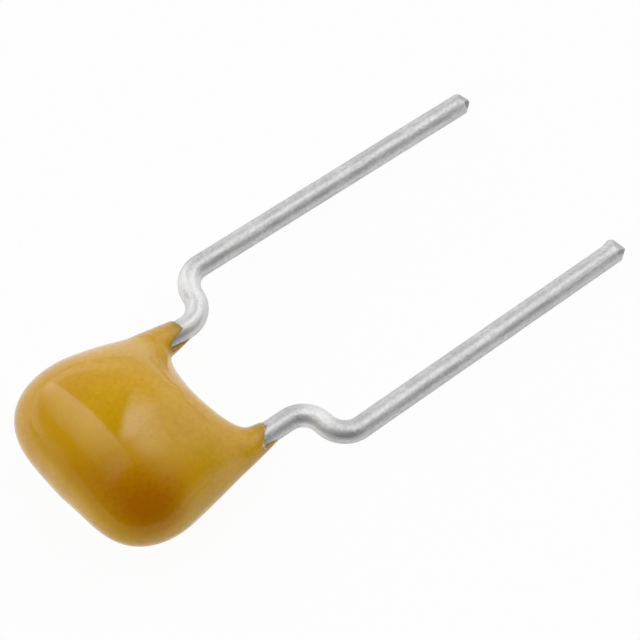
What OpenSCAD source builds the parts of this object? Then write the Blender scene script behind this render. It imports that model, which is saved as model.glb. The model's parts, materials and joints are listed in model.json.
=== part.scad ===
// Radial-lead multilayer ceramic capacitor, dipped in resin, lying on a table.
// It rests on the belly of its coated body and on the ends of its two kinked leads.
// Lead frame: X runs along the leads from body to tips, Y across them, Z out of their plane,
// and the origin is the middle of the body. The left lead is the one at +Y.
// Part frame: the same, turned about Y until belly and tips touch the ground at Z = 0.

/* [Coated body] */
// Length of the body along the leads, without its necks
body_l = 3.54; // [3.3:0.02:4.6]
// Width of the body across the leads, before the wires at its sides swell it
body_w = 3.55; // [3.4:0.05:4.6]
// Thickness of the body
body_t = 3; // [2.7:0.05:4]
// Share of its width that the body loses toward the leads
taper = 0.12; // [0.05:0.01:0.25]
// Share of its width that both ends of the body gain, which makes its corners squarer
corner_gain = 0.16; // [0.05:0.01:0.25]
// How blunt the rim of the body is
rim_fullness = 0.1; // [0:0.02:0.3]
// Rise of the far edge across the body, per millimetre of width
edge_slope = 0.06; // [0:0.01:0.1]
// The same for the edge between the necks
saddle_slope = 0.15; // [0.05:0.01:0.2]
// Distance by which the body sits off the middle line, toward the left lead
body_shift = 0.15; // [0:0.01:0.2]

/* [Necks] */
// Diameter of the coating where it ends round a lead
collar_d = 0.57; // [0.56:0.01:0.8]
// Distance from the body's edge to the end of the left collar
left_neck_l = 0.83; // [0.7:0.01:1.1]
// Distance from the body's edge to the end of the right collar
right_neck_l = 0.78; // [0.7:0.01:1.1]
// Growth of a neck's radius with each millimetre down its lead
neck_growth = 0.163; // [0.1:0.01:0.2]
// Length over which a neck keeps growing before it fades into the body's side
neck_ridge_l = 2.5; // [2:0.1:2.8]
// Strength with which body and necks run together, in square millimetres
melt = 2.5; // [1.5:0.1:3]
// Depth of the notch broken out of the left collar
chip_depth = 0.58; // [0.2:0.02:0.6]
// Opening angle of that notch
chip_angle = 38; // [30:2:80]
// Direction that the notch faces round the lead, from the inner side upward
chip_facing = 24; // [0:2:90]
// Slant of the right collar's end
collar_slant = 24; // [0:1:30]

/* [Leads] */
// Diameter of the tinned wire
lead_d = 0.5; // [0.4:0.01:0.55]
// Spacing of the two leads past their kinks
lead_pitch = 5.08; // [4.8:0.01:5.6]
// Angle of the oblique stretch in each kink
kink_angle = 82; // [70:0.5:88]
// Straight wire between the two bends of a kink
kink_straight = 0.04; // [0.03:0.01:0.1]
// Thinning of the wire in its bends
bend_thinning = 0.002; // [0.002:0.001:0.02]
// Bare wire between the left collar and its kink
left_kink_gap = 0.12; // [0.05:0.01:0.4]
// Bare wire between the right collar and its kink
right_kink_gap = 0.54; // [0.2:0.01:0.7]
// Reach of the left lead past its collar
left_lead_l = 8.86; // [6:0.02:14]
// Reach of the right lead past its collar
right_lead_l = 9.23; // [6:0.02:14]
// Angle by which the left leg leans in toward the right one
left_toe_in = 0.2; // [0:0.05:1]
// Angle by which the right leg leans in toward the left one
right_toe_in = 0.6; // [0:0.05:1]
// Slant of the sheared end of each lead
shear_angle = 24; // [0:1:35]
// Slope of the small second facet on each sheared end
facet_angle = 52; // [45:1:65]
// Length of that facet along the lead
facet_l = 0.16; // [0.08:0.01:0.2]
// How far the leads reach behind the middle of the body, inside the coating
lead_tail = 0.75; // [0.5:0.05:0.9]

/* [Ceramic chip] */
// Length of the chip, across the leads
chip_l = 2.44; // [2.2:0.02:2.6]
// Width of the chip, along the leads
chip_w = 2; // [1.6:0.05:2.1]
// Thickness of the chip
chip_t = 1.6; // [1:0.05:1.7]
// Thickness of the metal on the chip's ends
end_metal_t = 0.05; // [0.03:0.01:0.1]
// Length of the metal band at each end
end_band_l = 0.5; // [0.3:0.05:0.7]
// Thickness of solder between the chip's end and the wire
solder_film = 0.03; // [0.02:0.01:0.06]
// Radius of the hollow face of the solder fillet
solder_fillet_r = 0.4; // [0.3:0.02:0.5]
// How far the solder runs past the wire's end and past the chip's edge
solder_reach = 0.06; // [0.03:0.01:0.1]

/* [Electrodes] */
// Number of electrode plates on each side
plates_per_side = 6; // [3:1:8]
// Thickness of a plate
plate_t = 0.03; // [0.02:0.005:0.04]
// Bare ceramic above and below the stack of plates
cover_t = 0.16; // [0.1:0.01:0.25]
// Bare ceramic beside the plates
side_margin = 0.2; // [0.1:0.01:0.3]
// Gap between the free end of a plate and the far end metal
end_gap = 0.3; // [0.2:0.01:0.4]

/* [Hidden] */

LEFT = 1;
RIGHT = -1;
ROUND = 48;
BEND_LAP = 1;

lead_r = lead_d / 2;
collar_r = collar_d / 2;
exit_y = chip_l / 2 + solder_film + lead_r;
kink_offset = lead_pitch / 2 - exit_y;
bend_r = (kink_offset - kink_straight * sin(kink_angle)) / (2 * (1 - cos(kink_angle)));

function collar_x(side) = body_l / 2 + (side == LEFT ? left_neck_l : right_neck_l);
function kink_x(side) = collar_x(side) + (side == LEFT ? left_kink_gap : right_kink_gap);
function toe_in(side) = side == LEFT ? left_toe_in : right_toe_in;
function tip_x(side) = collar_x(side) + (side == LEFT ? left_lead_l : right_lead_l);

// ---- Outer form of the coating, as half its thickness at each place in the lead plane ----

MELT_X = (collar_x(LEFT) + collar_x(RIGHT)) / 2;
NECK_FADE = 0.48;
SKIN_COLUMNS = 24;
NECK_STEP = 20;
FLANK_SLICES = 13;
SADDLE_SLICES = 14;
SEARCH_STEPS = 24;

// The larger of two values, run together where they are closer than the melt
function melted(a, b) = max(a, b) + pow(max(melt - abs(a - b), 0), 2) / (4 * melt);

// Square of the body's half thickness: a dome over an egg shape
function dome2(x, y) =
    let (slope = (edge_slope + saddle_slope) / 2 + (saddle_slope - edge_slope) * x / body_l,
         u = 2 * (x + slope * y) / body_l,
         stretch = 1 - taper * u + corner_gain * u * u,
         v = 2 * (y - body_shift) / (body_w * stretch),
         q = u * u + v * v)
    pow(body_t / 2, 2) * (1 - q) * pow(1 + rim_fullness * min(q, 1), 2);

// Square of a neck's half thickness: a cone round the wire that fades under the body
function neck2(x, y, side) =
    let (down = max(MELT_X - x, 0))
    pow(collar_r + neck_growth * down, 2) - pow(y - side * exit_y, 2)
    - NECK_FADE * pow(max(down - neck_ridge_l, 0), 2);

function skin2(x, y) = melted(melted(dome2(x, y), neck2(x, y, LEFT)), neck2(x, y, RIGHT));

// Place of greatest thickness along a slice
function crest_x(y, lo, hi, steps) =
    steps == 0 ? (lo + hi) / 2 :
    let (a = lo + (hi - lo) / 3, b = hi - (hi - lo) / 3)
    skin2(a, y) > skin2(b, y) ? crest_x(y, lo, b, steps - 1) : crest_x(y, a, hi, steps - 1);
function crest(y) = crest_x(y, -body_l / 2, body_l / 4, SEARCH_STEPS);

// Edge of a slice between a place inside the skin and one outside it
function edge_x(y, inner, outer, steps) =
    let (mid = (inner + outer) / 2)
    steps == 0 ? mid :
    skin2(mid, y) > 0 ? edge_x(y, mid, outer, steps - 1) : edge_x(y, inner, mid, steps - 1);

// Widest place of the skin on one side
function flank_y(side, inner, outer, steps) =
    let (mid = (inner + outer) / 2)
    steps == 0 ? mid :
    skin2(crest(side * mid), side * mid) > 0 ? flank_y(side, mid, outer, steps - 1)
                                             : flank_y(side, inner, mid, steps - 1);

function near_neck(y) = abs(abs(y) - exit_y) < collar_r;
function slice_end(y) =
    near_neck(y) ? collar_x(y > 0 ? LEFT : RIGHT)
                 : edge_x(y, crest(y), MELT_X + 1, SEARCH_STEPS);

LEFT_FLANK = flank_y(LEFT, exit_y, body_w, SEARCH_STEPS);
RIGHT_FLANK = flank_y(RIGHT, exit_y, body_w, SEARCH_STEPS);
NECK_SPAN = [for (a = [-80 : NECK_STEP : 80]) exit_y + collar_r * sin(a)];
NECK_EDGE = exit_y + collar_r;
SADDLE_EDGE = exit_y - collar_r;

function flank_span(reach) =
    [for (k = [1 : FLANK_SLICES - 1])
        NECK_EDGE + (reach - NECK_EDGE) * (1 - cos(180 * k / FLANK_SLICES)) / 2];
function mirrored(list) = [for (k = [len(list) - 1 : -1 : 0]) -list[k]];

SLICES = concat(
    mirrored(flank_span(RIGHT_FLANK)),
    mirrored(NECK_SPAN),
    [for (k = [1 : SADDLE_SLICES - 1]) -SADDLE_EDGE * cos(180 * k / SADDLE_SLICES)],
    NECK_SPAN,
    flank_span(LEFT_FLANK));

// One slice: points along its upper side, then back along its lower side
function slice_points(y) =
    let (x0 = edge_x(y, crest(y), -body_l, SEARCH_STEPS),
         x1 = slice_end(y),
         top = [for (k = [0 : SKIN_COLUMNS - 1])
                   let (x = x0 + (x1 - x0) * (1 - cos(180 * k / (SKIN_COLUMNS - 1))) / 2)
                   [x, y, k == 0 || (k == SKIN_COLUMNS - 1 && !near_neck(y)) ? 0
                                                            : sqrt(max(skin2(x, y), 0))]])
    concat(top, [for (k = [SKIN_COLUMNS - 1 : -1 : 1]) [top[k][0], y, -top[k][2]]]);

RING = 2 * SKIN_COLUMNS - 1;
LAST = len(SLICES) - 1;
SKIN_POINTS = concat(
    [for (y = SLICES) each slice_points(y)],
    [[crest(-RIGHT_FLANK), -RIGHT_FLANK, 0], [crest(LEFT_FLANK), LEFT_FLANK, 0]]);
RIGHT_END = RING * len(SLICES);
LEFT_END = RIGHT_END + 1;

// Index of a point: a sharp slice end has one point, a collar's end has two
function at(i, k) =
    let (j = k % RING)
    RING * i + (j == SKIN_COLUMNS && !near_neck(SLICES[i]) ? j - 1 : j);
function whole(face) = face[0] != face[1] && face[1] != face[2] && face[2] != face[0];
SKIN_FACES = [
    for (face = concat(
        [for (i = [0 : LAST - 1], k = [0 : RING - 1]) each [
            [at(i, k), at(i + 1, k + 1), at(i, k + 1)],
            [at(i, k), at(i + 1, k), at(i + 1, k + 1)]]],
        [for (k = [0 : RING - 1]) [RIGHT_END, at(0, k), at(0, k + 1)]],
        [for (k = [0 : RING - 1]) [LEFT_END, at(LAST, k + 1), at(LAST, k)]]))
    if (whole(face)) face];

// ---- Rest on the table ----

// Lowest place of the belly and of a tip when the lead frame is turned down by an angle
function belly_z(a) = min([for (p = SKIN_POINTS) p[2] * cos(a) - p[0] * sin(a)]);
function tip_z(a) =
    -max(tip_x(LEFT), tip_x(RIGHT)) * sin(a)
    - lead_r * sqrt(pow(cos(a), 2) + pow(tan(shear_angle) * sin(a), 2));
function lie_angle(lo, hi, steps) =
    let (mid = (lo + hi) / 2)
    steps == 0 ? mid :
    tip_z(mid) > belly_z(mid) ? lie_angle(mid, hi, steps - 1) : lie_angle(lo, mid, steps - 1);

LIE = lie_angle(0, 30, 16);
BACK_X = min([for (p = SKIN_POINTS) p[0] * cos(LIE) + p[2] * sin(LIE)]);
FRONT_X = max(tip_x(LEFT), tip_x(RIGHT)) * cos(LIE)
    + lead_r * (tan(shear_angle) * cos(LIE) - sin(LIE)) / 2;

module resting() {
    translate([-(BACK_X + FRONT_X) / 2, 0, -belly_z(LIE)])
        rotate([0, LIE, 0])
            children();
}

// ---- Leads ----

module wire(length) {
    rotate([0, 90, 0]) cylinder(r = lead_r, h = length, $fn = ROUND);
}

// A bend that starts at the origin heading along +X and turns toward +Y.
// It is a trace thinner than the straight wire and reaches a little into it at both ends.
module wire_bend(angle) {
    translate([0, bend_r, 0])
        rotate([0, 0, -90 - BEND_LAP])
            rotate_extrude(angle = angle + 2 * BEND_LAP, $fn = 2 * ROUND)
                translate([bend_r, 0]) circle(r = lead_r - bend_thinning / 2, $fn = ROUND);
}

// What follows a bend of that angle
module past_bend(angle) {
    translate([bend_r * sin(angle), bend_r * (1 - cos(angle)), 0])
        rotate([0, 0, angle])
            children();
}

// Distance along X that the kink takes up
kink_l = 2 * bend_r * sin(kink_angle) + kink_straight * cos(kink_angle);
function leg_start_x(side) = kink_x(side) + kink_l + bend_r * sin(toe_in(side));
function leg_start_y(side) = lead_pitch / 2 - bend_r * (1 - cos(toe_in(side)));

// A kinked lead as it runs on the left side; the right one is mirrored.
// The first bend turns outward and the second turns back, past straight by the toe-in.
module lead_run(side) {
    leg_turn = kink_angle + toe_in(side);
    leg_l = (tip_x(side) - leg_start_x(side)) / cos(toe_in(side)) + lead_d;
    translate([-lead_tail, exit_y, 0]) wire(kink_x(side) + lead_tail);
    translate([kink_x(side), exit_y, 0]) {
        wire_bend(kink_angle);
        past_bend(kink_angle) {
            wire(kink_straight);
            translate([kink_straight, 0, 0]) mirror([0, 1, 0]) {
                wire_bend(leg_turn);
                past_bend(leg_turn) wire(leg_l);
            }
        }
    }
}

// Sheared end: one slanted cut and a small facet on its longer, lower edge
module shear_cut(side) {
    tip_y = leg_start_y(side) - (tip_x(side) - leg_start_x(side)) * tan(toe_in(side));
    translate([tip_x(side), side * tip_y, 0]) {
        rotate([0, 0, shear_angle])
            translate([0, -2 * lead_d, -2 * lead_d]) cube(4 * lead_d);
        translate([lead_r * tan(shear_angle), -lead_r, 0])
            rotate([0, 0, -facet_angle])
                translate([-facet_l * sin(facet_angle), -2 * lead_d, -2 * lead_d]) cube(4 * lead_d);
    }
}

module lead_solid(side) {
    difference() {
        if (side == LEFT) lead_run(LEFT);
        else mirror([0, 1, 0]) lead_run(RIGHT);
        shear_cut(side);
    }
}

// ---- Chip ----

module block(x, y, z) {
    translate([-x / 2, -y / 2, -z / 2]) cube([x, y, z]);
}

module ceramic_block() {
    block(chip_w - 2 * end_metal_t, chip_l - 2 * end_metal_t, chip_t - 2 * end_metal_t);
}

module end_block(side) {
    translate([0, side * (chip_l - end_band_l) / 2, 0]) block(chip_w, end_band_l, chip_t);
}

module end_cap(side) {
    difference() {
        end_block(side);
        ceramic_block();
    }
}

plate_w = chip_w - 2 * (end_metal_t + side_margin);
plate_l = chip_l - 2 * end_metal_t - end_gap;
stack_h = chip_t - 2 * (end_metal_t + cover_t) - plate_t;
plate_count = 2 * plates_per_side;

module plates(side) {
    first = side == LEFT ? 0 : 1;
    for (k = [first : 2 : plate_count - 1])
        translate([0, side * end_gap / 2, stack_h * (k / (plate_count - 1) - 0.5)])
            block(plate_w, plate_l, plate_t);
}

// Bar of solder from the end metal to the middle of the wire, hollow above and below.
// It runs a little past the wire's end and the chip's edge, and can sink into the chip.
module solder_bar(side, sink) {
    face_y = chip_l / 2;
    fillet_y = face_y + 0.875 * solder_fillet_r;
    fillet_z = 0.88 * lead_r + solder_fillet_r;
    mirror([0, side == LEFT ? 0 : 1, 0])
        translate([-lead_tail - solder_reach, 0, 0])
            rotate([90, 0, 90])
                linear_extrude(height = lead_tail + chip_w / 2 + 2 * solder_reach)
                    difference() {
                        translate([face_y - sink, -fillet_z])
                            square([exit_y - face_y + sink, 2 * fillet_z]);
                        for (up = [-1, 1])
                            translate([fillet_y, up * fillet_z])
                                circle(r = solder_fillet_r, $fn = ROUND);
                    }
}

module solder_fill(side) {
    difference() {
        solder_bar(side, 0);
        lead_solid(side);
    }
}

// ---- Coating ----

// Notch broken out of the left collar, open toward the lead's tip
module collar_notch() {
    reach = 2 * chip_depth;
    half = reach * tan(chip_angle / 2);
    translate([collar_x(LEFT) - chip_depth, exit_y, 0])
        rotate([chip_facing - 90, 0, 0])
            rotate([90, 0, 0])
                translate([0, 0, -collar_d])
                    linear_extrude(height = collar_d)
                        polygon([[0, 0], [reach, half], [reach, -half]]);
}

// Slanted end of the right collar
module collar_trim() {
    translate([collar_x(RIGHT), collar_r - exit_y, 0])
        rotate([0, 0, -collar_slant])
            translate([0, -2 * collar_d, -collar_d]) cube([collar_d, 2 * collar_d + 1, 2 * collar_d]);
}

module coating_solid() {
    difference() {
        polyhedron(points = SKIN_POINTS, faces = SKIN_FACES, convexity = 4);
        collar_notch();
        collar_trim();
        for (side = [LEFT, RIGHT]) {
            lead_solid(side);
            solder_bar(side, end_metal_t);
            end_block(side);
        }
        ceramic_block();
    }
}

// ---- Nodes ----

module coating() { color([0.78, 0.58, 0.16]) resting() coating_solid(); }
module lead_left() { color([0.78, 0.78, 0.79]) resting() lead_solid(LEFT); }
module lead_right() { color([0.78, 0.78, 0.79]) resting() lead_solid(RIGHT); }
module solder_joint_left() { color([0.66, 0.67, 0.7]) resting() solder_fill(LEFT); }
module solder_joint_right() { color([0.66, 0.67, 0.7]) resting() solder_fill(RIGHT); }
module end_termination_left() { color([0.7, 0.68, 0.64]) resting() end_cap(LEFT); }
module end_termination_right() { color([0.7, 0.68, 0.64]) resting() end_cap(RIGHT); }
module ceramic_body() {
    color([0.62, 0.5, 0.4]) resting() difference() {
        ceramic_block();
        plates(LEFT);
        plates(RIGHT);
    }
}
module electrodes_left() { color([0.45, 0.44, 0.42]) resting() plates(LEFT); }
module electrodes_right() { color([0.45, 0.44, 0.42]) resting() plates(RIGHT); }

coating();
lead_left();
lead_right();
solder_joint_left();
solder_joint_right();
end_termination_left();
end_termination_right();
ceramic_body();
electrodes_left();
electrodes_right();
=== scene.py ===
"""Dipped multilayer ceramic capacitor with kinked radial leads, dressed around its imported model."""
import json
import math

import bmesh
import bpy
import numpy as np
from mathutils import Matrix, Vector

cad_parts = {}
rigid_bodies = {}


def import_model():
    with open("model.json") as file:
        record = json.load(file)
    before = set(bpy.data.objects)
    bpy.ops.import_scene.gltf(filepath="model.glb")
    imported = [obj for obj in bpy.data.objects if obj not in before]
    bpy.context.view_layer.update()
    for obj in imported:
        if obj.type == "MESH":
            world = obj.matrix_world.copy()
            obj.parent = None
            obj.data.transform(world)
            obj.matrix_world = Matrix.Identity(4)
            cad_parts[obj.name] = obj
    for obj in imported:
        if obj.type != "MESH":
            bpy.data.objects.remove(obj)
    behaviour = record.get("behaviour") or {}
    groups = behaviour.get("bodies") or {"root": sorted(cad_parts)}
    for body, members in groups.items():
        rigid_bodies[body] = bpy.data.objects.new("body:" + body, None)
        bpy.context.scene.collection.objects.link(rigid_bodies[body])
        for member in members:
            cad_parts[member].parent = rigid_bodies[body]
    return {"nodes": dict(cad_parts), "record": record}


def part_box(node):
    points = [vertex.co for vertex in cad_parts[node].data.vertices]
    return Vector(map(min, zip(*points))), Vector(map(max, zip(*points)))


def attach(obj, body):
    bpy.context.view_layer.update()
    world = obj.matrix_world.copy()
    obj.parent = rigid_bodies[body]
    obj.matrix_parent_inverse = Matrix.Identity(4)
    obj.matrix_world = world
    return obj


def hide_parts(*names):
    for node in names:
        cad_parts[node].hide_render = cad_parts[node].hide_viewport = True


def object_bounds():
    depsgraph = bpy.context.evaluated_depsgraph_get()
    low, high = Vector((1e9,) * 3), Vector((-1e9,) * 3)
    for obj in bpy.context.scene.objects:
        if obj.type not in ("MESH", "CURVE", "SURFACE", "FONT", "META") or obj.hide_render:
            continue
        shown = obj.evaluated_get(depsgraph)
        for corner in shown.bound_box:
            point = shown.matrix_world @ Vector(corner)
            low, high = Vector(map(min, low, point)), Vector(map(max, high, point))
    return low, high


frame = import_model()
cad_low, cad_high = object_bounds()

MM = 0.001

# ---- Lead frame: origin in the middle of the chip, X along the leads, Z out of their plane ----

pins = {m["name"]: m for m in frame["record"]["mounts"]}
left_axis = pins["lead_left_pin"]["axis"]
LIE = math.atan2(-left_axis[2], left_axis[0])
chip_low, chip_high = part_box("ceramic_body")
CHIP_MIDDLE = (chip_low + chip_high) / 2
LEAD_FRAME = (Matrix.Translation(CHIP_MIDDLE) @ Matrix.Rotation(LIE, 4, "Y")
              @ Matrix.Scale(MM, 4))
TO_LEAD_FRAME = LEAD_FRAME.inverted()

# ---- Sizes in millimetres in the lead frame, the same as in the part's source ----

WIRE_R = pins["lead_left_pin"]["dims"]["r_mm"]
LEFT, RIGHT = 1, -1
EXIT_Y = 1.5
PITCH = 5.08
KINK_ANGLE = math.radians(82)
KINK_STRAIGHT = 0.04
BEND_R = ((PITCH / 2 - EXIT_Y - KINK_STRAIGHT * math.sin(KINK_ANGLE))
          / (2 * (1 - math.cos(KINK_ANGLE))))
WIRE_TAIL = 0.75
COLLAR_X = {LEFT: 2.60, RIGHT: 2.55}
KINK_X = {LEFT: 2.72, RIGHT: 3.09}
TIP_X = {LEFT: 11.46, RIGHT: 11.78}
TOE_IN = {LEFT: math.radians(0.2), RIGHT: math.radians(0.6)}
SHEAR = math.radians(24)

BODY_L, BODY_W, BODY_T = 3.54, 3.55, 3.0
TAPER, CORNER_GAIN, RIM_FULLNESS = 0.12, 0.16, 0.1
EDGE_SLOPE, SADDLE_SLOPE, BODY_SHIFT = 0.06, 0.15, 0.15
COLLAR_R, NECK_GROWTH, NECK_RIDGE, NECK_FADE = 0.285, 0.163, 2.5, 0.48
MELT = 2.5
MELT_X = (COLLAR_X[LEFT] + COLLAR_X[RIGHT]) / 2

# Points closer than this are one, and edges sharper than these angles stay sharp
SAME_PLACE = 1e-5
COAT_CREASE, WIRE_CREASE = math.radians(40), math.radians(35)


# ---- Tools for modelling ----

def activate(obj):
    for other in bpy.context.view_layer.objects:
        other.select_set(False)
    obj.select_set(True)
    bpy.context.view_layer.objects.active = obj


def edit(obj):
    activate(obj)
    bpy.ops.object.mode_set(mode="EDIT")


def leave_edit():
    bpy.ops.object.mode_set(mode="OBJECT")


def pick_faces(obj, test):
    """Selects, in edit mode, the faces whose middle and normal pass the test."""
    bpy.ops.mesh.select_all(action="DESELECT")
    bm = bmesh.from_edit_mesh(obj.data)
    for face in bm.faces:
        if test(face.calc_center_median(), face.normal):
            face.select_set(True)
    bm.select_flush_mode()
    bmesh.update_edit_mesh(obj.data)


def pick_edges(obj, test):
    """Selects, in edit mode, the edges whose two ends pass the test."""
    bpy.ops.mesh.select_all(action="DESELECT")
    bm = bmesh.from_edit_mesh(obj.data)
    for edge in bm.edges:
        if test(edge.verts[0].co, edge.verts[1].co):
            edge.select_set(True)
    bmesh.update_edit_mesh(obj.data)


def pick_points(obj, test):
    """Selects the points that pass the test and nothing else, and stays in edit mode."""
    edit(obj)
    bpy.ops.mesh.select_mode(type="VERT")
    bpy.ops.mesh.select_all(action="DESELECT")
    leave_edit()
    for point in obj.data.vertices:
        point.select = test(point.co)
    edit(obj)


def apply_modifier(obj, kind, **values):
    activate(obj)
    mod = obj.modifiers.new(kind.title(), kind)
    for key, value in values.items():
        setattr(mod, key, value)
    bpy.ops.object.modifier_apply(modifier=mod.name)


def cut_away(obj, cutter):
    apply_modifier(obj, "BOOLEAN", operation="DIFFERENCE", solver="EXACT", object=cutter)
    bpy.data.objects.remove(cutter)


def set_down(obj):
    """Puts a piece modelled in millimetres in the lead frame into its place in the part."""
    obj.matrix_world = LEAD_FRAME
    activate(obj)
    bpy.ops.object.transform_apply(location=True, rotation=True, scale=True)


def coordinates(obj):
    co = np.empty(len(obj.data.vertices) * 3)
    obj.data.vertices.foreach_get("co", co)
    return co.reshape(-1, 3)


def move_points(obj, co):
    obj.data.vertices.foreach_set("co", co.ravel())
    obj.data.update()


# ---- Form of the dipped coat ----

# The necks thin out at their collars' lips
LIP_THINNING, LIP_FADE = 0.021, 0.16

# Taken off the square of the half thickness over the body, and fading out toward the necks
SKIN_INSET, INSET_END = 0.012, 1.2

# How a point is drawn onto the skin: the rounds, the step that feels the slope, and the limits
# that keep the point near where the form is almost flat
ROUNDS, FEELER = 12, 1e-4
LEAST_SLOPE_SQUARE, LONGEST_MOVE = 0.05, 0.25


def run_together(a, b):
    return np.maximum(a, b) + np.maximum(MELT - np.abs(a - b), 0) ** 2 / (4 * MELT)


def dome(x, y):
    """Square of the body's half thickness, less than nought beside the body."""
    slope = (EDGE_SLOPE + SADDLE_SLOPE) / 2 + (SADDLE_SLOPE - EDGE_SLOPE) * x / BODY_L
    u = 2 * (x + slope * y) / BODY_L
    stretch = 1 - TAPER * u + CORNER_GAIN * u * u
    v = 2 * (y - BODY_SHIFT) / (BODY_W * stretch)
    q = u * u + v * v
    return (BODY_T / 2) ** 2 * (1 - q) * (1 + RIM_FULLNESS * np.minimum(q, 1)) ** 2


def neck(x, y, side):
    """Square of a neck's half thickness, less than nought beside the neck."""
    down = np.maximum(MELT_X - x, 0)
    radius = COLLAR_R + NECK_GROWTH * down - LIP_THINNING * np.exp(-down / LIP_FADE)
    return (radius ** 2 - (y - side * EXIT_Y) ** 2
            - NECK_FADE * np.maximum(down - NECK_RIDGE, 0) ** 2)


def coat_form(co):
    """Positive inside the coat, nought on its skin."""
    x, y, z = co[:, 0], co[:, 1], co[:, 2]
    both = run_together(run_together(dome(x, y), neck(x, y, LEFT)), neck(x, y, RIGHT))
    return both - z * z - SKIN_INSET * np.clip(INSET_END - x, 0, 1)


def settle(obj):
    """Draws every point of a piece onto the skin of the coat, along the steepest way."""
    co = coordinates(obj)
    for _ in range(ROUNDS):
        value = coat_form(co)
        slope = np.empty_like(co)
        for k in range(3):
            ahead = co.copy()
            ahead[:, k] += FEELER
            slope[:, k] = (coat_form(ahead) - value) / FEELER
        square = np.maximum((slope ** 2).sum(1), LEAST_SLOPE_SQUARE)
        move = -(value / square)[:, None] * slope
        length = np.linalg.norm(move, axis=1)
        move *= np.minimum(1, LONGEST_MOVE / np.maximum(length, 1e-9))[:, None]
        co = co + move
    move_points(obj, co)


# ---- Torn ends of the collars ----

# Broken end of each collar, as angle round the lead, from its inner side upward, and reach
BROKEN_EDGE = {
    LEFT: ((-180, 2.50), (-120, 2.56), (-60, 2.60), (-18, 2.64), (-6, 2.50), (6, 2.20),
           (16, 2.03), (32, 2.02), (44, 2.08), (54, 2.14), (61, 2.28), (67, 2.45), (72, 2.53),
           (100, 2.50), (140, 2.47)),
    RIGHT: ((-176, 2.63), (-150, 2.60), (-60, 2.58), (0, 2.57), (60, 2.54), (76, 2.53),
            (90, 2.45), (102, 2.38), (120, 2.31), (134, 2.24), (150, 2.23), (163, 2.34),
            (172, 2.62)),
}

# Teeth of torn resin on that edge: their height on each side, and the waves they are made of,
# each with its number round the lead, its turn in degrees and its share
TOOTH = {LEFT: 0.005, RIGHT: 0.012}
TOOTH_WAVES = ((9, 40, 1.0), (17, 200, 0.7), (31, 0, 0.5))

# Where points count as being near a collar, and the distance that stands for far from both
NEAR_X, NEAR_Y, FAR = 1.6, 0.6, 9.0


def round_the_lead(co, side):
    """Angle round a lead in degrees, from its inner side upward, and distance from its middle."""
    off = co[:, 1] - side * EXIT_Y
    return np.degrees(np.arctan2(co[:, 2], -side * off)), np.hypot(off, co[:, 2])


def collar_end(side, angle):
    """Reach of a collar's broken edge, with the small teeth of torn resin."""
    edge = BROKEN_EDGE[side]
    turns = np.array([e[0] for e in edge] + [edge[0][0] + 360])
    reach = np.array([e[1] for e in edge] + [edge[0][1]])
    a = (angle - turns[0]) % 360 + turns[0]
    teeth = sum(share * np.sin(np.radians(number * a + turn))
                for number, turn, share in TOOTH_WAVES)
    return np.interp(a, turns, reach) + TOOTH[side] * teeth


def mark_distance_to_edge(coat):
    """Keeps how far each point near a collar lies from its broken edge, for the finish there."""
    co = coordinates(coat)
    to_edge = np.full(len(co), FAR)
    for side in (LEFT, RIGHT):
        angle = round_the_lead(co, side)[0]
        near = (co[:, 0] > NEAR_X) & (np.abs(co[:, 1] - side * EXIT_Y) < NEAR_Y)
        to_edge[near] = (collar_end(side, angle) - co[:, 0])[near]
    coat.data.attributes.new("to_edge", "FLOAT", "POINT").data.foreach_set("value", to_edge)


# ---- Coat ----

# The block that the coat grows from, how often its skin is refined, and the rows by which the
# necks are drawn out of it
CELL, CELLS, BLOCK_T = 0.375, (9, 12, 8), 2.8
SKIN_LEVELS = 3
NECK_ROOT_Z = 0.4
NECK_ROWS = (2.0, 2.25, 2.5, 2.72, 2.9)
FIRST_NARROWING, NARROWING = 0.85, 0.92
NECK_END = 2.77

# The bores for the wires, and the drum that breaks a collar off. Its near end follows the torn
# edge round the wire, leans away further out and runs to a point in the middle.
BORE_CLEARANCE, BORE_START, CUTTER_END = 0.004, 1.1, 3.4
BORE_CORNERS, DRUM_CORNERS = 64, 144
DRUM_R, DRUM_START, DRUM_RIM, DRUM_POINT = 0.5, 2.8, 0.3, 2.4
TEAR_LEAN, TEAR_R = 0.25, 0.27


def level_cylinder(name, radius, start, end, side, corners):
    """A closed cylinder round a lead, between two places along it."""
    bpy.ops.mesh.primitive_cylinder_add(vertices=corners, radius=radius, depth=end - start,
                                        end_fill_type="NGON", rotation=(0, math.pi / 2, 0),
                                        location=((start + end) / 2, side * EXIT_Y, 0))
    obj = bpy.context.object
    obj.name = name
    activate(obj)
    bpy.ops.object.transform_apply(location=True, rotation=True, scale=True)
    return obj


def bore_collar(coat, side):
    """Bores a neck out for its wire."""
    cut_away(coat, level_cylinder("bore", WIRE_R + BORE_CLEARANCE, BORE_START, CUTTER_END,
                                  side, BORE_CORNERS))


def break_collar(coat, side):
    """Breaks the collar off along its torn edge."""
    drum = level_cylinder("break", DRUM_R, DRUM_START, CUTTER_END, side, DRUM_CORNERS)
    edit(drum)
    pick_faces(drum, lambda middle, normal: normal.x < -0.9)
    bpy.ops.mesh.inset(thickness=DRUM_RIM, depth=0)
    bpy.ops.mesh.poke()
    leave_edit()
    co = coordinates(drum)
    near = co[:, 0] < (DRUM_START + CUTTER_END) / 2
    angle, radius = round_the_lead(co, side)
    torn = collar_end(side, angle) + TEAR_LEAN * (radius - TEAR_R)
    in_middle = radius < DRUM_R / 4
    co[near, 0] = np.where(in_middle, DRUM_POINT, torn)[near]
    move_points(drum, co)
    cut_away(coat, drum)


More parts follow.
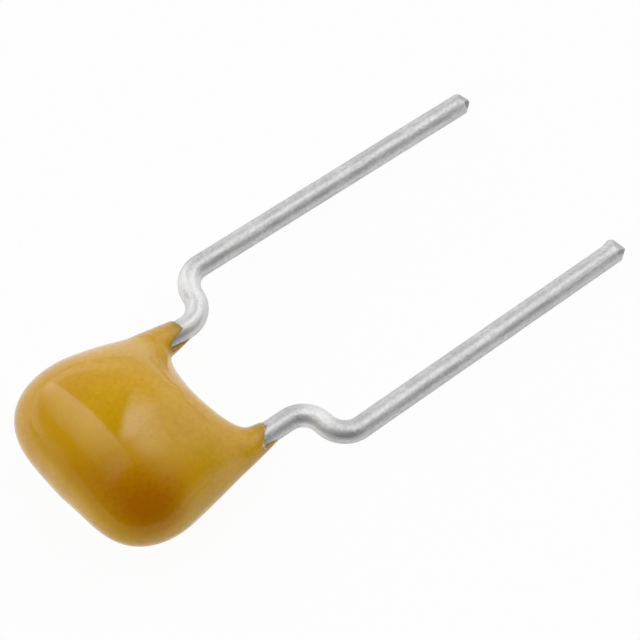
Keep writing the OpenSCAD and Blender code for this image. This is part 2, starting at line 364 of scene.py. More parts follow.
def divide_into_cells(block):
    """Divides the block's edges along each axis, and with them its faces."""
    for axis, cells in enumerate(CELLS):
        one, other = (axis + 1) % 3, (axis + 2) % 3
        pick_edges(block, lambda a, b: abs((a - b)[one]) + abs((a - b)[other]) < 1e-4)
        bpy.ops.mesh.subdivide(number_cuts=cells - 1)


def draw_out_neck(coat, side):
    """Draws a neck out of the block's front, narrower with each row."""
    pick_faces(coat, lambda middle, normal: normal.x > 0.9 and abs(middle.z) < NECK_ROOT_Z
               and abs(middle.y - side * EXIT_Y) < CELL)
    at = CELLS[0] / 2 * CELL
    for row in NECK_ROWS:
        bpy.ops.mesh.extrude_region_move(TRANSFORM_OT_translate={"value": (row - at, 0, 0)})
        factor = FIRST_NARROWING if row == NECK_ROWS[0] else NARROWING
        bpy.ops.transform.resize(value=(1, factor, factor),
                                 center_override=(row, side * EXIT_Y, 0))
        at = row


def model_coat():
    """A block with two necks, settled onto the coat's form, then bored and broken off."""
    bpy.ops.mesh.primitive_cube_add(size=1, location=(0, 0, 0))
    coat = bpy.context.object
    coat.name = "resin_coat"
    coat.scale = (CELLS[0] * CELL, CELLS[1] * CELL, BLOCK_T)
    activate(coat)
    bpy.ops.object.transform_apply(location=False, rotation=False, scale=True)
    edit(coat)
    divide_into_cells(coat)
    for side in (LEFT, RIGHT):
        draw_out_neck(coat, side)
    leave_edit()
    apply_modifier(coat, "SMOOTH", factor=0.5, iterations=2)
    settle(coat)
    for _ in range(SKIN_LEVELS):
        apply_modifier(coat, "SUBSURF", levels=1, render_levels=1)
        settle(coat)
    edit(coat)
    bpy.ops.mesh.select_all(action="SELECT")
    bpy.ops.mesh.bisect(plane_co=(NECK_END, 0, 0), plane_no=(1, 0, 0), use_fill=True,
                        clear_outer=True, threshold=SAME_PLACE)
    leave_edit()
    for side in (LEFT, RIGHT):
        bore_collar(coat, side)
        break_collar(coat, side)
    return coat


coat = model_coat()
mark_distance_to_edge(coat)
set_down(coat)
bpy.ops.object.shade_smooth_by_angle(angle=COAT_CREASE)
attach(coat, "root")
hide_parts("coating")

# ---- Leads ----

KINK_L = 2 * BEND_R * math.sin(KINK_ANGLE) + KINK_STRAIGHT * math.cos(KINK_ANGLE)

# Corners round a wire, rows round a bend, and how far a wire stays inside its true radius
RIM, BEND_STEPS, WIRE_INSET = 56, 22, 0.001

# Two short rows before each tip, and what is drawn out past it and sheared off again
TIP_ROW, PAST_TIP = 0.25, 0.4

# The second facet of each tip, as in the part's source
FACET_SLOPE, FACET_L = math.radians(52), 0.16

# Small facets on top of each tip: how far back, across and up they lie, the last two in radii
# of the wire, and the way they face
TOP_FACETS = {
    LEFT: ((0.01, 0, 0.78, (0.36, 0, 0.93)), (0.10, -0.52, 0.852, (0.42, -0.62, 0.66))),
    RIGHT: ((0.01, 0, 0.78, (0.36, 0, 0.93)), (0.20, 0.56, 0.828, (0.07, 0.60, 0.797))),
}

# The burr at the right tip: its points lie no further back than this and, in radii of the
# wire, at least so far across and at most so far down. Then how far they are pulled, and how
# far that draws their neighbours along.
BURR_REACH, BURR_ACROSS, BURR_DOWN = 0.13, 0.3, 0.6
BURR_MOVE, BURR_SPREAD = (0.02, -0.045, 0), 0.15


def leg_start(side):
    """Where a lead's straight leg starts, as it runs on the left side."""
    return (KINK_X[side] + KINK_L + BEND_R * math.sin(TOE_IN[side]),
            PITCH / 2 - BEND_R * (1 - math.cos(TOE_IN[side])))


def bend_centers(side):
    """Middles of the two bends of a kink, as it runs on the left side."""
    first = (KINK_X[side], EXIT_Y + BEND_R)
    at = (first[0] + BEND_R * math.sin(KINK_ANGLE) + KINK_STRAIGHT * math.cos(KINK_ANGLE),
          first[1] - BEND_R * math.cos(KINK_ANGLE) + KINK_STRAIGHT * math.sin(KINK_ANGLE))
    second = (at[0] + BEND_R * math.sin(KINK_ANGLE), at[1] - BEND_R * math.cos(KINK_ANGLE))
    return first, second


def straightened(co, side):
    """Where each point of a lead would lie if its kink were pulled straight."""
    (x1, y1), (x2, y2) = bend_centers(side)
    x, y = co[:, 0], co[:, 1]
    turn1 = np.arctan2(x - x1, y1 - y)
    turn2 = np.arctan2(x2 - x, y - y2)
    run1 = KINK_X[side] + BEND_R * KINK_ANGLE
    run2 = run1 + KINK_STRAIGHT + BEND_R * (KINK_ANGLE + TOE_IN[side])
    c, s = math.cos(TOE_IN[side]), math.sin(TOE_IN[side])
    lx, ly = leg_start(side)
    leg = (x - lx) * c - (y - ly) * s
    off = (x - lx) * s + (y - ly) * c
    middle = (x - x1) * math.cos(KINK_ANGLE) + (y - EXIT_Y) * math.sin(KINK_ANGLE) > (
        BEND_R * math.sin(KINK_ANGLE) * math.cos(KINK_ANGLE)
        + BEND_R * (1 - math.cos(KINK_ANGLE)) * math.sin(KINK_ANGLE) + KINK_STRAIGHT / 2)
    along = np.where(x < x1, x, np.where(leg > 0, run2 + leg, np.where(
        middle, run2 - BEND_R * (turn2 + TOE_IN[side]), KINK_X[side] + BEND_R * turn1)))
    across = np.where(x < x1, y - EXIT_Y, np.where(leg > 0, off, np.where(
        middle, np.hypot(x - x2, y - y2) - BEND_R, BEND_R - np.hypot(x - x1, y - y1))))
    return np.stack([along, across, co[:, 2]], axis=1)


def draw_wire(side):
    """Draws the selected disc out along a lead's run, to a little past its tip."""
    def draw_on(dx, dy):
        bpy.ops.mesh.extrude_region_move(TRANSFORM_OT_translate={"value": (dx, dy, 0)})

    (x1, y1), (x2, y2) = bend_centers(side)
    draw_on(KINK_X[side] + WIRE_TAIL, 0)
    bpy.ops.mesh.spin(steps=BEND_STEPS, angle=-KINK_ANGLE, center=(x1, y1, 0), axis=(0, 0, 1))
    draw_on(KINK_STRAIGHT * math.cos(KINK_ANGLE), KINK_STRAIGHT * math.sin(KINK_ANGLE))
    bpy.ops.mesh.spin(steps=BEND_STEPS, angle=KINK_ANGLE + TOE_IN[side], center=(x2, y2, 0),
                      axis=(0, 0, 1))
    half_leg = (TIP_X[side] - leg_start(side)[0]) / math.cos(TOE_IN[side]) * 0.5
    for reach in (half_leg, half_leg - 2 * TIP_ROW, TIP_ROW, TIP_ROW, PAST_TIP):
        draw_on(reach * math.cos(TOE_IN[side]), -reach * math.sin(TOE_IN[side]))


def tip_cuts(side, tip):
    """The planes that shear a tip off, each as a point and the way it faces."""
    toward = 1 if side == LEFT else -1
    lean = toward * SHEAR
    facet_x = (tip[0] + WIRE_R * math.tan(SHEAR)
               - FACET_L * math.sin(FACET_SLOPE) * math.cos(FACET_SLOPE))
    facet_y = tip[1] - toward * (WIRE_R - FACET_L * math.sin(FACET_SLOPE) ** 2)
    cuts = [(tip, (math.cos(lean), math.sin(lean), 0)),
            ((facet_x, facet_y, 0), (math.cos(FACET_SLOPE), -toward * math.sin(FACET_SLOPE), 0))]
    for back, across, up, facing in TOP_FACETS[side]:
        cuts.append(((tip[0] - back, tip[1] + WIRE_R * across, WIRE_R * up), facing))
    return cuts


def pull_out_burr(lead, tip):
    """Pulls out the burr that the shears dragged along."""
    pick_points(lead, lambda co: co.x > tip[0] - BURR_REACH and co.z > -WIRE_R * BURR_DOWN
                and co.y < tip[1] - WIRE_R * BURR_ACROSS)
    bpy.ops.transform.translate(value=BURR_MOVE, use_proportional_edit=True,
                                use_proportional_connected=True, proportional_size=BURR_SPREAD)
    leave_edit()


def model_lead(side, name):
    """A wire with its kink and sheared tip, both leads as they would run on the left side."""
    bpy.ops.mesh.primitive_circle_add(vertices=RIM, radius=WIRE_R - WIRE_INSET,
                                      fill_type="NGON", location=(-WIRE_TAIL, EXIT_Y, 0),
                                      rotation=(0, math.pi / 2, 0))
    lead = bpy.context.object
    lead.name = name
    activate(lead)
    bpy.ops.object.transform_apply(location=True, rotation=True, scale=True)
    edit(lead)
    bpy.ops.mesh.select_all(action="SELECT")
    draw_wire(side)
    bpy.ops.mesh.select_all(action="SELECT")
    bpy.ops.mesh.remove_doubles(threshold=SAME_PLACE)
    bpy.ops.mesh.normals_make_consistent(inside=False)
    lx, ly = leg_start(side)
    tip = (TIP_X[side], ly - (TIP_X[side] - lx) * math.tan(TOE_IN[side]), 0)
    for point, facing in tip_cuts(side, tip):
        bpy.ops.mesh.select_all(action="SELECT")
        bpy.ops.mesh.bisect(plane_co=point, plane_no=facing, use_fill=True, clear_outer=True,
                            threshold=SAME_PLACE)
    leave_edit()
    if side == RIGHT:
        pull_out_burr(lead, tip)
    return lead


def mirror_across(lead):
    """Mirrors a lead to the right side."""
    edit(lead)
    bpy.ops.mesh.select_all(action="SELECT")
    bpy.ops.transform.mirror(constraint_axis=(False, True, False), center_override=(0, 0, 0))
    bpy.ops.mesh.normals_make_consistent(inside=False)
    leave_edit()


leads = []
for side, name in ((LEFT, "kinked_lead_left"), (RIGHT, "kinked_lead_right")):
    lead = model_lead(side, name)
    unbent = lead.data.attributes.new("unbent", "FLOAT_VECTOR", "POINT")
    unbent.data.foreach_set("vector", straightened(coordinates(lead), side).ravel())
    if side == RIGHT:
        mirror_across(lead)
    leads.append(lead)
    set_down(lead)
    bpy.ops.object.shade_smooth_by_angle(angle=WIRE_CREASE)
    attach(lead, "root")
    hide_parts("lead_left" if side == LEFT else "lead_right")


# ---- Tools for materials and light ----

def material(name):
    mat = bpy.data.materials.new(name)
    mat.use_nodes = True
    return mat, mat.node_tree, mat.node_tree.nodes["Principled BSDF"]


def add(tree, kind, values=None, **settings):
    """Adds a node, with settings on the node and values on its sockets."""
    node = tree.nodes.new(kind)
    for key, value in settings.items():
        setattr(node, key, value)
    for key, value in (values or {}).items():
        node.inputs[key].default_value = value
    return node


def give(tree, socket, value):
    """Gives a socket another socket's value, a plain colour or a plain number."""
    if isinstance(value, bpy.types.NodeSocket):
        tree.links.new(value, socket)
    elif isinstance(value, tuple):
        socket.default_value = (*value, 1)
    else:
        socket.default_value = value


def calculate(tree, operation, *values):
    node = add(tree, "ShaderNodeMath", operation=operation)
    for socket, value in zip(node.inputs, values):
        give(tree, socket, value)
    return node.outputs[0]


def times(tree, a, b):
    return calculate(tree, "MULTIPLY", a, b)


def plus(tree, a, b):
    return calculate(tree, "ADD", a, b)


def ranged(tree, value, low, high, to_low=0.0, to_high=1.0, kind="SMOOTHSTEP"):
    """Carries the span from low to high over to another span, and holds it at both ends."""
    span = add(tree, "ShaderNodeMapRange", interpolation_type=kind)
    for k, number in ((1, low), (2, high), (3, to_low), (4, to_high)):
        span.inputs[k].default_value = number
    tree.links.new(value, span.inputs[0])
    return span.outputs[0]


def varied(tree, noise, low=0.0, high=1.0, kind="SMOOTHSTEP"):
    """Wanders from low to high with a noise, most of which lies between 0.3 and 0.7."""
    return ranged(tree, noise, 0.3, 0.7, low, high, kind)


def between(tree, value, rise, fall, most=1.0):
    """Nought outside a stretch that fades in over the rise and out over the fall."""
    return times(tree, ranged(tree, value, *rise), ranged(tree, value, *fall, most, 0.0))


def mixed(tree, factor, a, b):
    """Mixes two numbers: a where the factor is 0, b where it is 1."""
    mix = add(tree, "ShaderNodeMix")
    for k, value in ((0, factor), (2, a), (3, b)):
        give(tree, mix.inputs[k], value)
    return mix.outputs[0]


def blend(tree, factor, a, b):
    """Mixes two colours: a where the factor is 0, b where it is 1."""
    mix = add(tree, "ShaderNodeMix", data_type="RGBA")
    for k, value in ((0, factor), (6, a), (7, b)):
        give(tree, mix.inputs[k], value)
    return mix.outputs[2]


def tinted(tree, colour, *tints):
    """Lays tints over a colour, one after another, each through its mask."""
    for mask, tint in tints:
        colour = blend(tree, mask, colour, tint)
    return colour


def bump(tree, height, depth_mm, strength=1.0, normal=None):
    """Raises and sinks a surface by a height, up to a depth in millimetres."""
    node = add(tree, "ShaderNodeBump", {"Distance": depth_mm * MM, "Strength": strength})
    tree.links.new(height, node.inputs["Height"])
    if normal is not None:
        tree.links.new(normal, node.inputs["Normal"])
    return node.outputs[0]


def millimetres(tree):
    """Position on the object, in millimetres."""
    scale = add(tree, "ShaderNodeVectorMath", {"Scale": 1 / MM}, operation="SCALE")
    tree.links.new(add(tree, "ShaderNodeTexCoord").outputs["Object"], scale.inputs[0])
    return scale.outputs[0]


def axes(tree, vector):
    """The three coordinates of a place or a direction."""
    split = add(tree, "ShaderNodeSeparateXYZ")
    tree.links.new(vector, split.inputs[0])
    return split.outputs


def distance_toward(tree, place, x, y):
    """How far a place lies in the level direction (x, y)."""
    line = add(tree, "ShaderNodeVectorMath", {1: (x, y, 0)}, operation="DOT_PRODUCT")
    tree.links.new(place, line.inputs[0])
    return line.outputs["Value"]


def group(name, inputs, outputs):
    """A shared effect that takes the given inputs and gives out numbers."""
    tree = bpy.data.node_groups.new(name, "ShaderNodeTree")
    for label, kind, value in inputs:
        socket = tree.interface.new_socket(label, in_out="INPUT", socket_type="NodeSocket" + kind)
        if value is not None:
            socket.default_value = value
    for label in outputs:
        tree.interface.new_socket(label, in_out="OUTPUT", socket_type="NodeSocketFloat")
    return tree, tree.nodes.new("NodeGroupInput"), tree.nodes.new("NodeGroupOutput")


def use_group(tree, shared, place, **values):
    """Puts a shared effect to work on a place, which goes into its first socket."""
    node = add(tree, "ShaderNodeGroup", values, node_tree=shared)
    tree.links.new(place, node.inputs[0])
    return node.outputs


# ---- Effects that materials share ----

def uneven_finish():
    """Cloudy unevenness of a cast or dipped finish, and the fine grain on top of it."""
    tree, given, made = group("uneven_finish", [("Place", "Vector", None),
                                                ("Clouds", "Float", 1.0),
                                                ("Grain", "Float", 12.0)], ("Cloud", "Fine"))
    cloud = add(tree, "ShaderNodeTexNoise", {"Detail": 3.0, "Roughness": 0.5})
    fine = add(tree, "ShaderNodeTexNoise", {"Detail": 4.0, "Roughness": 0.65})
    for noise, scale, out in ((cloud, "Clouds", "Cloud"), (fine, "Grain", "Fine")):
        tree.links.new(given.outputs["Place"], noise.inputs["Vector"])
        tree.links.new(given.outputs[scale], noise.inputs["Scale"])
        tree.links.new(noise.outputs[0], made.inputs[out])
    return tree


def small_specks():
    """Small specks, each in a cell of its own, of which only a share is filled."""
    tree, given, made = group("specks", [("Place", "Vector", None), ("Cells", "Float", 5.0),
                                         ("Share", "Float", 0.2), ("Size", "Float", 0.2)],
                              ("Mask",))
    cell = add(tree, "ShaderNodeTexVoronoi", feature="F1")
    tree.links.new(given.outputs["Place"], cell.inputs["Vector"])
    tree.links.new(given.outputs["Cells"], cell.inputs["Scale"])
    lot = add(tree, "ShaderNodeSeparateColor")
    tree.links.new(cell.outputs["Color"], lot.inputs[0])
    chosen = calculate(tree, "LESS_THAN", lot.outputs[0], given.outputs["Share"])
    close = calculate(tree, "DIVIDE", cell.outputs["Distance"], given.outputs["Size"])
    dot = ranged(tree, close, 0.6, 1.0, 1.0, 0.0)
    tree.links.new(times(tree, dot, chosen), made.inputs["Mask"])
    return tree


def drawing_lines():
    """Lines that run along a drawn wire, and the soft patches on it."""
    tree, given, made = group("drawing_lines", [("Along", "Vector", None)], ("Lines", "Patches"))
    squeeze = add(tree, "ShaderNodeVectorMath", {1: (0.7, 16, 16)}, operation="MULTIPLY")
    tree.links.new(given.outputs["Along"], squeeze.inputs[0])
    lines = add(tree, "ShaderNodeTexNoise", {"Scale": 1.0, "Detail": 5.0, "Roughness": 0.6})
    tree.links.new(squeeze.outputs[0], lines.inputs["Vector"])
    tree.links.new(lines.outputs[0], made.inputs["Lines"])
    patches = add(tree, "ShaderNodeTexNoise", {"Scale": 2.2, "Detail": 3.0, "Roughness": 0.55})
    tree.links.new(given.outputs["Along"], patches.inputs["Vector"])
    tree.links.new(patches.outputs[0], made.inputs["Patches"])
    return tree


UNEVEN, SPECKS, DRAWN = uneven_finish(), small_specks(), drawing_lines()


# ---- Colours ----

# Resin: as it lies on the body, where it gathered (also painted shade), on the necks (with painted
# light on the left one), at the torn edges, its mottling, the specks and flecks in it, and the torn
# faces
GOLD = (0.71, 0.38, 0.0012), (0.765, 0.42, 0.0025)
DEEP_GOLD_AND_SHADE = (0.49, 0.15, 0.0002)
THIN_RESIN, PAINTED_NECK_LIGHT, EDGE_OLIVE = (0.42, 0.26, 0.03), (0.72, 0.46, 0.13), (0.36, 0.25, 0.03)
MOTTLING, SPECK, FLECK = (0.36, 0.18, 0.002), (0.20, 0.11, 0.015), (0.80, 0.74, 0.48)
TORN = (0.46, 0.25, 0.02), (0.62, 0.38, 0.05)

# Wire: its tin, the drawing lines and pits, painted highlights on the kinks and on the left lead
# before its kink, where resin broke off it, and its bare core, plain and with painted shade
TIN = (0.72, 0.72, 0.72), (0.87, 0.87, 0.865)
LINES, PITS = (0.58, 0.58, 0.59), (0.50, 0.51, 0.51)
PAINTED_KINK_HIGHLIGHT, PAINTED_WIRE_HIGHLIGHT, DULLED = (0.98, 0.98, 0.975), (0.94, 0.94, 0.935), (0.60, 0.63, 0.68)
SHEARED = (0.55, 0.565, 0.56), (0.69, 0.705, 0.70)
SHADED = (0.40, 0.405, 0.405)


# ---- Materials ----

def dipped_resin():
    """Gold, deeper where it gathered at the bottom of the dip, which is also painted shade, thin and
    duller at the necks, with painted light on the left neck's outer flank.
    """
    mat, tree, shader = material("dipped_resin")
    place = millimetres(tree)
    x, y = axes(tree, place)[:2]
    finish = use_group(tree, UNEVEN, place, Clouds=0.9, Grain=10.0)
    cloud, fine = finish["Cloud"], finish["Fine"]
    specks = use_group(tree, SPECKS, place, Cells=5.5, Share=0.3, Size=0.11)["Mask"]
    to_edge = add(tree, "ShaderNodeAttribute", attribute_name="to_edge").outputs["Fac"]

    # Distance from the middle of the gathered resin, whose deeper gold is also painted shade, in
    # lengths of its own three half axes
    pool_and_shade = add(tree, "ShaderNodeMapping", {"Location": (-5.66, -1.75, 2.39),
                                           "Scale": (0.93, 2.84, 0.48)}, vector_type="TEXTURE")
    tree.links.new(place, pool_and_shade.inputs["Vector"])
    distance = add(tree, "ShaderNodeVectorMath", operation="LENGTH")
    tree.links.new(pool_and_shade.outputs[0], distance.inputs[0])
    away = plus(tree, distance.outputs["Value"], varied(tree, fine, -0.2, 0.2, "LINEAR"))

    # Painted light: paler resin on the left neck's outer flank, the side that faces the light
    left_neck_light = times(tree, ranged(tree, x, -3.7, -3.1), ranged(tree, y, 1.35, 1.75, 0.0, 0.5))
    fleck = times(tree, ranged(tree, to_edge, 0.03, 0.11, 1.0, 0.0),
                  ranged(tree, fine, 0.53, 0.60))
    fleck = times(tree, fleck, ranged(tree, y, -1.0, -0.5, 0.8, 0.0))
    colour = tinted(tree, blend(tree, varied(tree, cloud), *GOLD),
                    (ranged(tree, away, 0.2, 1.5, 1.0, 0.0), DEEP_GOLD_AND_SHADE),
                    (ranged(tree, x, -2.95, -2.45, 0.0, 0.6), THIN_RESIN),
                    (left_neck_light, PAINTED_NECK_LIGHT),
                    (ranged(tree, to_edge, 0.02, 0.16, 0.7, 0.0), EDGE_OLIVE),
                    (ranged(tree, fine, 0.35, 0.75, 0.0, 0.34, "LINEAR"), MOTTLING),
                    (times(tree, specks, 0.3), SPECK),
                    (fleck, FLECK))
    tree.links.new(colour, shader.inputs["Base Color"])
    rough = plus(tree, varied(tree, cloud, 0.075, 0.115), ranged(tree, x, -3.7, -3.0, 0.0, 0.13))
    tree.links.new(rough, shader.inputs["Roughness"])
    swell = bump(tree, cloud, 0.02, 0.3)
    tree.links.new(bump(tree, fine, 0.002, 0.5, swell), shader.inputs["Normal"])
    shader.inputs["IOR"].default_value = 1.55
    return mat


def torn_resin():
    """Rough resin on the collars' torn edges."""
    mat, tree, shader = material("torn_resin")
    finish = use_group(tree, UNEVEN, millimetres(tree), Clouds=4.0, Grain=24.0)
    tree.links.new(blend(tree, varied(tree, finish["Fine"]), *TORN), shader.inputs["Base Color"])
    tree.links.new(varied(tree, finish["Cloud"], 0.45, 0.65), shader.inputs["Roughness"])
    tree.links.new(bump(tree, finish["Fine"], 0.01), shader.inputs["Normal"])
    return mat


def tinned_wire():
    """Satin, with drawing lines, soft patches and pits, and painted highlights on the kinks and on
    the left lead before its kink. It is rippled where it was bent round the tool, and dull where the
    resin broke off it."""
    mat, tree, shader = material("tinned_wire")
    along = add(tree, "ShaderNodeAttribute", attribute_name="unbent").outputs["Vector"]
    run = axes(tree, along)[0]
    drawn = use_group(tree, DRAWN, along)
    pits = use_group(tree, UNEVEN, along, Clouds=5.0, Grain=13.0)["Fine"]

    on_left = ranged(tree, axes(tree, millimetres(tree))[1], 0.0, 1.0)
    # Painted highlight: lighter tin on the left lead from its collar into its kink
    painted_left_highlight = times(tree, between(tree, run, (2.5, 2.75), (3.4, 3.8), 0.55), on_left)
    # Painted highlight: lighter tin on both kinks, in the list below
    colour = tinted(tree, blend(tree, varied(tree, drawn["Patches"]), *TIN),
                    (ranged(tree, drawn["Lines"], 0.35, 0.65, 0.0, 0.25, "LINEAR"), LINES),
                    (ranged(tree, pits, 0.42, 0.68, 0.0, 0.5), PITS),
                    (between(tree, run, (3.2, 3.6), (3.85, 4.3), 0.8), PAINTED_KINK_HIGHLIGHT),
                    (painted_left_highlight, PAINTED_WIRE_HIGHLIGHT),
                    (ranged(tree, run, 2.3, 2.62, 0.8, 0.0), DULLED))
    tree.links.new(colour, shader.inputs["Base Color"])
    shader.inputs["Metallic"].default_value = 0.65
    shader.inputs["Specular Tint"].default_value = (0.35, 0.35, 0.36, 1)
    tree.links.new(varied(tree, drawn["Patches"], 0.40, 0.50), shader.inputs["Roughness"])

    pitted = bump(tree, pits, 0.014, 0.9, bump(tree, drawn["Lines"], 0.012, 0.5))
    ripple = times(tree, calculate(tree, "SINE", times(tree, run, 75.0)),
                   between(tree, run, (2.9, 3.2), (4.2, 4.6)))
    tree.links.new(bump(tree, ripple, 0.0012, 0.8, pitted), shader.inputs["Normal"])
    return mat


def sheared_wire():
    """Bare core of the wire where it was sheared, with painted shade on the faces that look out and
    to the right.
    """
    mat, tree, shader = material("sheared_wire")
    finish = use_group(tree, UNEVEN, millimetres(tree), Clouds=5.0, Grain=30.0)
    facing = axes(tree, add(tree, "ShaderNodeNewGeometry").outputs["True Normal"])
    # Painted shade on the faces that look out and to the right
    shaded = times(tree, ranged(tree, facing[1], -0.35, -0.2, 1.0, 0.0),
                   ranged(tree, facing[0], 0.25, 0.4, 0.15, 1.0))
    colour = tinted(tree, blend(tree, varied(tree, finish["Cloud"]), *SHEARED), (shaded, SHADED))
    tree.links.new(colour, shader.inputs["Base Color"])
    shader.inputs["Metallic"].default_value = 1
    tree.links.new(varied(tree, finish["Fine"], 0.5, 0.7), shader.inputs["Roughness"])
    tree.links.new(bump(tree, finish["Fine"], 0.006), shader.inputs["Normal"])
    return mat


def inner_finish(name, colours, rough, clouds, grain, relief, nodes, metallic=1):
    """Finish of pieces inside the coat, uneven in its own way."""
    mat, tree, shader = material(name)
    finish = use_group(tree, UNEVEN, millimetres(tree), Clouds=clouds, Grain=grain)
    tree.links.new(blend(tree, varied(tree, finish["Cloud"]), *colours),
                   shader.inputs["Base Color"])
    shader.inputs["Metallic"].default_value = metallic
    tree.links.new(varied(tree, finish["Fine"], *rough), shader.inputs["Roughness"])
    tree.links.new(bump(tree, finish["Fine"], relief), shader.inputs["Normal"])
    for node in nodes:
        obj = frame["nodes"][node]
        obj.data.materials.clear()
        obj.data.materials.append(mat)


# ---- Finishing the pieces ----

# On the coat's skin its form is nought to within this, and a cutter made the other faces
OFF_SKIN = 0.004

# So near a lead's tip, a face with more corners than this was made by the shears
SHEARED_REACH, SIDE_CORNERS = 0.4, 6


def finish_coat():
    """Dipped resin on the skin, and torn resin where the collars broke off."""
    coat.data.materials.append(dipped_resin())
    coat.data.materials.append(torn_resin())
    middles = np.array([TO_LEAD_FRAME @ face.center for face in coat.data.polygons])
    for face, off in zip(coat.data.polygons, np.abs(coat_form(middles))):
        if off > OFF_SKIN:
            face.material_index = 1


def finish_leads():
    """Tin on the wires, and their bare core on the sheared faces."""
    tin, core = tinned_wire(), sheared_wire()
    for lead in leads:
        lead.data.materials.append(tin)
        lead.data.materials.append(core)
        reach = max((TO_LEAD_FRAME @ point.co).x for point in lead.data.vertices)
        for face in lead.data.polygons:
            near_tip = (TO_LEAD_FRAME @ face.center).x > reach - SHEARED_REACH
            if near_tip and len(face.vertices) > SIDE_CORNERS:
                face.material_index = 1


finish_coat()
finish_leads()
inner_finish("solder", ((0.55, 0.56, 0.58), (0.70, 0.71, 0.72)), (0.18, 0.32), clouds=1.5,
             grain=12, relief=0.004, nodes=("solder_joint_left", "solder_joint_right"))
inner_finish("end_metal", ((0.55, 0.52, 0.47), (0.66, 0.63, 0.58)), (0.38, 0.55), clouds=2.0,
             grain=25, relief=0.005, nodes=("end_termination_left", "end_termination_right"))
inner_finish("ceramic", ((0.33, 0.22, 0.14), (0.42, 0.29, 0.19)), (0.45, 0.6), clouds=1.2,
             grain=30, relief=0.003, nodes=("ceramic_body",), metallic=0)
inner_finish("plate_metal", ((0.40, 0.38, 0.35), (0.50, 0.48, 0.44)), (0.4, 0.55), clouds=2.5,
             grain=30, relief=0.002, nodes=("electrodes_left", "electrodes_right"))


# ---- Floor ----

FLOOR_WHITE, FLOOR_GLOW = (0.9, 0.9, 0.9, 1), 0.96

# Level direction from the dark front of the room to its back
FROM_FRONT = (0.75, 0.66)


def pale_floor():
    """White, and lit by itself where it is seen straight or shines in the gloss. What shines
    in the gloss fades towards the dark front of the room, and beyond the part."""
    mat, tree, shader = material("pale_floor")
    tree.nodes.remove(shader)
    matte = add(tree, "ShaderNodeBsdfDiffuse", {"Color": FLOOR_WHITE})
    glow = add(tree, "ShaderNodeEmission")
    path = add(tree, "ShaderNodeLightPath").outputs
    backward = distance_toward(tree, millimetres(tree), *FROM_FRONT)
    fading = times(tree, ranged(tree, backward, -11, -4, 0.3, 1.0),
                   ranged(tree, backward, 5, 30, 1.0, 0.65))
    tree.links.new(calculate(tree, "MAXIMUM", fading, path["Is Camera Ray"]),
                   glow.inputs["Strength"])
    seen = calculate(tree, "MAXIMUM", path["Is Camera Ray"], path["Is Glossy Ray"])
    mix = add(tree, "ShaderNodeMixShader")
    tree.links.new(times(tree, seen, FLOOR_GLOW), mix.inputs[0])
    tree.links.new(matte.outputs[0], mix.inputs[1])
    tree.links.new(glow.outputs[0], mix.inputs[2])
    tree.links.new(mix.outputs[0], tree.nodes["Material Output"].inputs["Surface"])
    return mat


bpy.ops.mesh.primitive_plane_add(size=2, location=(0, 0, 0))
floor = bpy.context.object
floor.name = "floor"
floor.data.materials.append(pale_floor())


# ---- Light ----

# Lower directions meet the ceiling as if they rose this much. Then the light from everywhere.
CEILING_FOOT, EVERYWHERE = 0.02, 0.01

# Weak fills: their size and distance in metres, and each one's power and the way it hangs
FILL_SIZE, FILL_DISTANCE = 0.3, 0.4
FILLS = {"left_fill": (0.38, (-0.9, -0.1, 0.4)), "right_fill": (0.14, (0.35, -0.75, 0.65))}


def ceiling_place(tree, way, height):
    """Where each direction meets the studio's ceiling, which is level and one unit up."""
    raised = calculate(tree, "MAXIMUM", height, CEILING_FOOT)
    ceiling = add(tree, "ShaderNodeVectorMath", operation="SCALE")
    tree.links.new(way, ceiling.inputs[0])
    tree.links.new(calculate(tree, "DIVIDE", 1.0, raised), ceiling.inputs["Scale"])
    return ceiling.outputs[0]


def ceiling_banks(tree, ceiling):
    """Two pale banks of light with a dark gap between them, which is narrow at its near end.
    The right bank hangs beside the gap's slanted edge and is brightest there. The left bank
    is brightest beside the gap too, ends in a crisp foot, and has a duller one to its left."""
    rightward = distance_toward(tree, ceiling, 1, 0)
    rearward = distance_toward(tree, ceiling, 0, 1)
    beyond_gap = distance_toward(tree, ceiling, -0.67, 0.745)
    outward = distance_toward(tree, ceiling, 0.77, 0.64)
    rearmost = distance_toward(tree, ceiling, 0.5, 0.87)

    right_bright = times(tree, ranged(tree, beyond_gap, -1.0, -0.12, 0.0, 2.35),
                         ranged(tree, outward, 0.35, 2.0, 1.0, 0.0))
    right_bright = times(tree, right_bright, ranged(tree, rearmost, -0.22, 0.10))
    right_bright = times(tree, right_bright, ranged(tree, rearward, 0.2, 0.5, 1.0, 0.55))
    right_wide = times(tree, ranged(tree, rearmost, -1.0, 0.4, 0.10, 1.1),
                       ranged(tree, rearward, -1.5, 0.2, 0.4, 1.0))
    right_wide = times(tree, right_wide, ranged(tree, beyond_gap, -1.1, -0.35, 1.0, 0.42))
    right_wide = times(tree, right_wide, ranged(tree, outward, 2.2, 5.5, 1.0, 0.7))
    right_bank = times(tree, plus(tree, right_bright, right_wide),
                       ranged(tree, distance_toward(tree, ceiling, 0.86, 0.5), -0.32, 0.14))
    back_bank = plus(tree, ranged(tree, rearward, 0.1, 6.0, 0.0, 0.55, "LINEAR"),
                     ranged(tree, rearward, 0.1, 1.4, 0.0, 0.28))
    right_and_back = mixed(tree, ranged(tree, beyond_gap, -0.11, 0.03), right_bank, back_bank)

    left_bank = mixed(tree, ranged(tree, rightward, -1.3, -0.1, 0.0, 1.0, "LINEAR"),
                      ranged(tree, rearward, 0.1, 4.0, 0.03, 0.45),
                      ranged(tree, rearward, -0.2, 0.5, 0.85, 1.9, "LINEAR"))
    left_bank = times(tree, left_bank, ranged(tree, rearward, -0.25, -0.13))
    left_side = ranged(tree, distance_toward(tree, ceiling, 1, -0.05), -0.10, -0.05, 1.0, 0.0)
    return mixed(tree, left_side, right_and_back, left_bank)


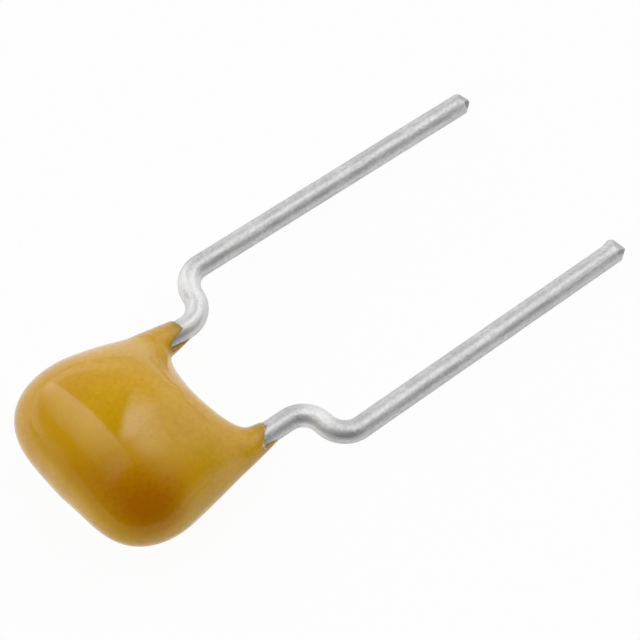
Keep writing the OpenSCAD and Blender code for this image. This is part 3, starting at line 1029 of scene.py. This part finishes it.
def low_walls(tree, way, rearward, height):
    """Pale walls low down all round but in front, where the room is dark, and taller at the
    rear. They are duller straight behind the part and toward the right."""
    walls = times(tree, ranged(tree, height, 0.0, 0.3, 0.9, 0.0),
                  ranged(tree, distance_toward(tree, way, *FROM_FRONT), -0.65, -0.15))
    behind = ranged(tree, distance_toward(tree, way, 0.7, 0.71), 0.88, 0.985, 1.0, 0.45)
    walls = times(tree, walls, behind)
    walls = times(tree, walls, ranged(tree, rearward, -0.78, -0.5, 0.6, 1.0))
    back_wall = times(tree, ranged(tree, height, 0.1, 0.6, 0.25, 0.0),
                      ranged(tree, rearward, 0.4, 0.8))
    skirting = ranged(tree, height, 0.0, 0.08, 0.35, 0.0)
    return plus(tree, plus(tree, walls, back_wall), skirting)


def light_studio():
    """Lights the part from the whole room round it."""
    world = bpy.data.worlds.new("studio")
    bpy.context.scene.world = world
    world.use_nodes = True
    tree = world.node_tree
    sky = tree.nodes["Background"]
    sky.inputs["Color"].default_value = (1, 1, 1, 1)
    way = add(tree, "ShaderNodeTexCoord").outputs["Generated"]
    rearward, height = axes(tree, way)[1:]
    banks = times(tree, ceiling_banks(tree, ceiling_place(tree, way, height)),
                  ranged(tree, height, 0.03, 0.2))
    walls = low_walls(tree, way, rearward, height)
    light = plus(tree, plus(tree, walls, banks), EVERYWHERE)
    tree.links.new(light, sky.inputs["Strength"])


def hang_fill(name, power, hanging):
    """A weak lamp that looks at the part and doesn't show in its gloss."""
    disk = bpy.data.lights.new(name, "AREA")
    disk.shape, disk.size, disk.energy = "DISK", FILL_SIZE, power
    lamp = bpy.data.objects.new(name, disk)
    bpy.context.scene.collection.objects.link(lamp)
    lamp.location = Vector(hanging).normalized() * FILL_DISTANCE
    lamp.rotation_euler = lamp.location.to_track_quat("Z", "Y").to_euler()
    lamp.visible_glossy = False


light_studio()
for name, (power, hanging) in FILLS.items():
    hang_fill(name, power, hanging)


# ---- Camera ----

AZIMUTH, ELEVATION, ROLL = math.radians(-43.4), math.radians(64.18), math.radians(5.15)
DISTANCE = 56.88 * MM
AIM_RIGHT, AIM_UP = 0.118 * MM, -0.163 * MM
LENS, SENSOR = 150, 36


def set_up_camera():
    """Looks steeply down from the body's end and the right lead's side, rolled a little."""
    back = Vector((math.sin(AZIMUTH) * math.cos(ELEVATION),
                   -math.cos(AZIMUTH) * math.cos(ELEVATION), math.sin(ELEVATION)))
    level = Vector((math.cos(AZIMUTH), math.sin(AZIMUTH), 0))
    above = back.cross(level)
    right = level * math.cos(ROLL) + above * math.sin(ROLL)
    up = back.cross(right)
    aim = (cad_low + cad_high) / 2 + right * AIM_RIGHT + up * AIM_UP
    optics = bpy.data.cameras.new("camera")
    optics.lens, optics.sensor_width, optics.clip_start = LENS, SENSOR, MM
    camera = bpy.data.objects.new("camera", optics)
    bpy.context.scene.collection.objects.link(camera)
    camera.matrix_world = Matrix.Translation(aim + back * DISTANCE) @ Matrix(
        (right, up, back)).transposed().to_4x4()
    bpy.context.scene.camera = camera
    bpy.context.scene.view_settings.view_transform = "Standard"


set_up_camera()
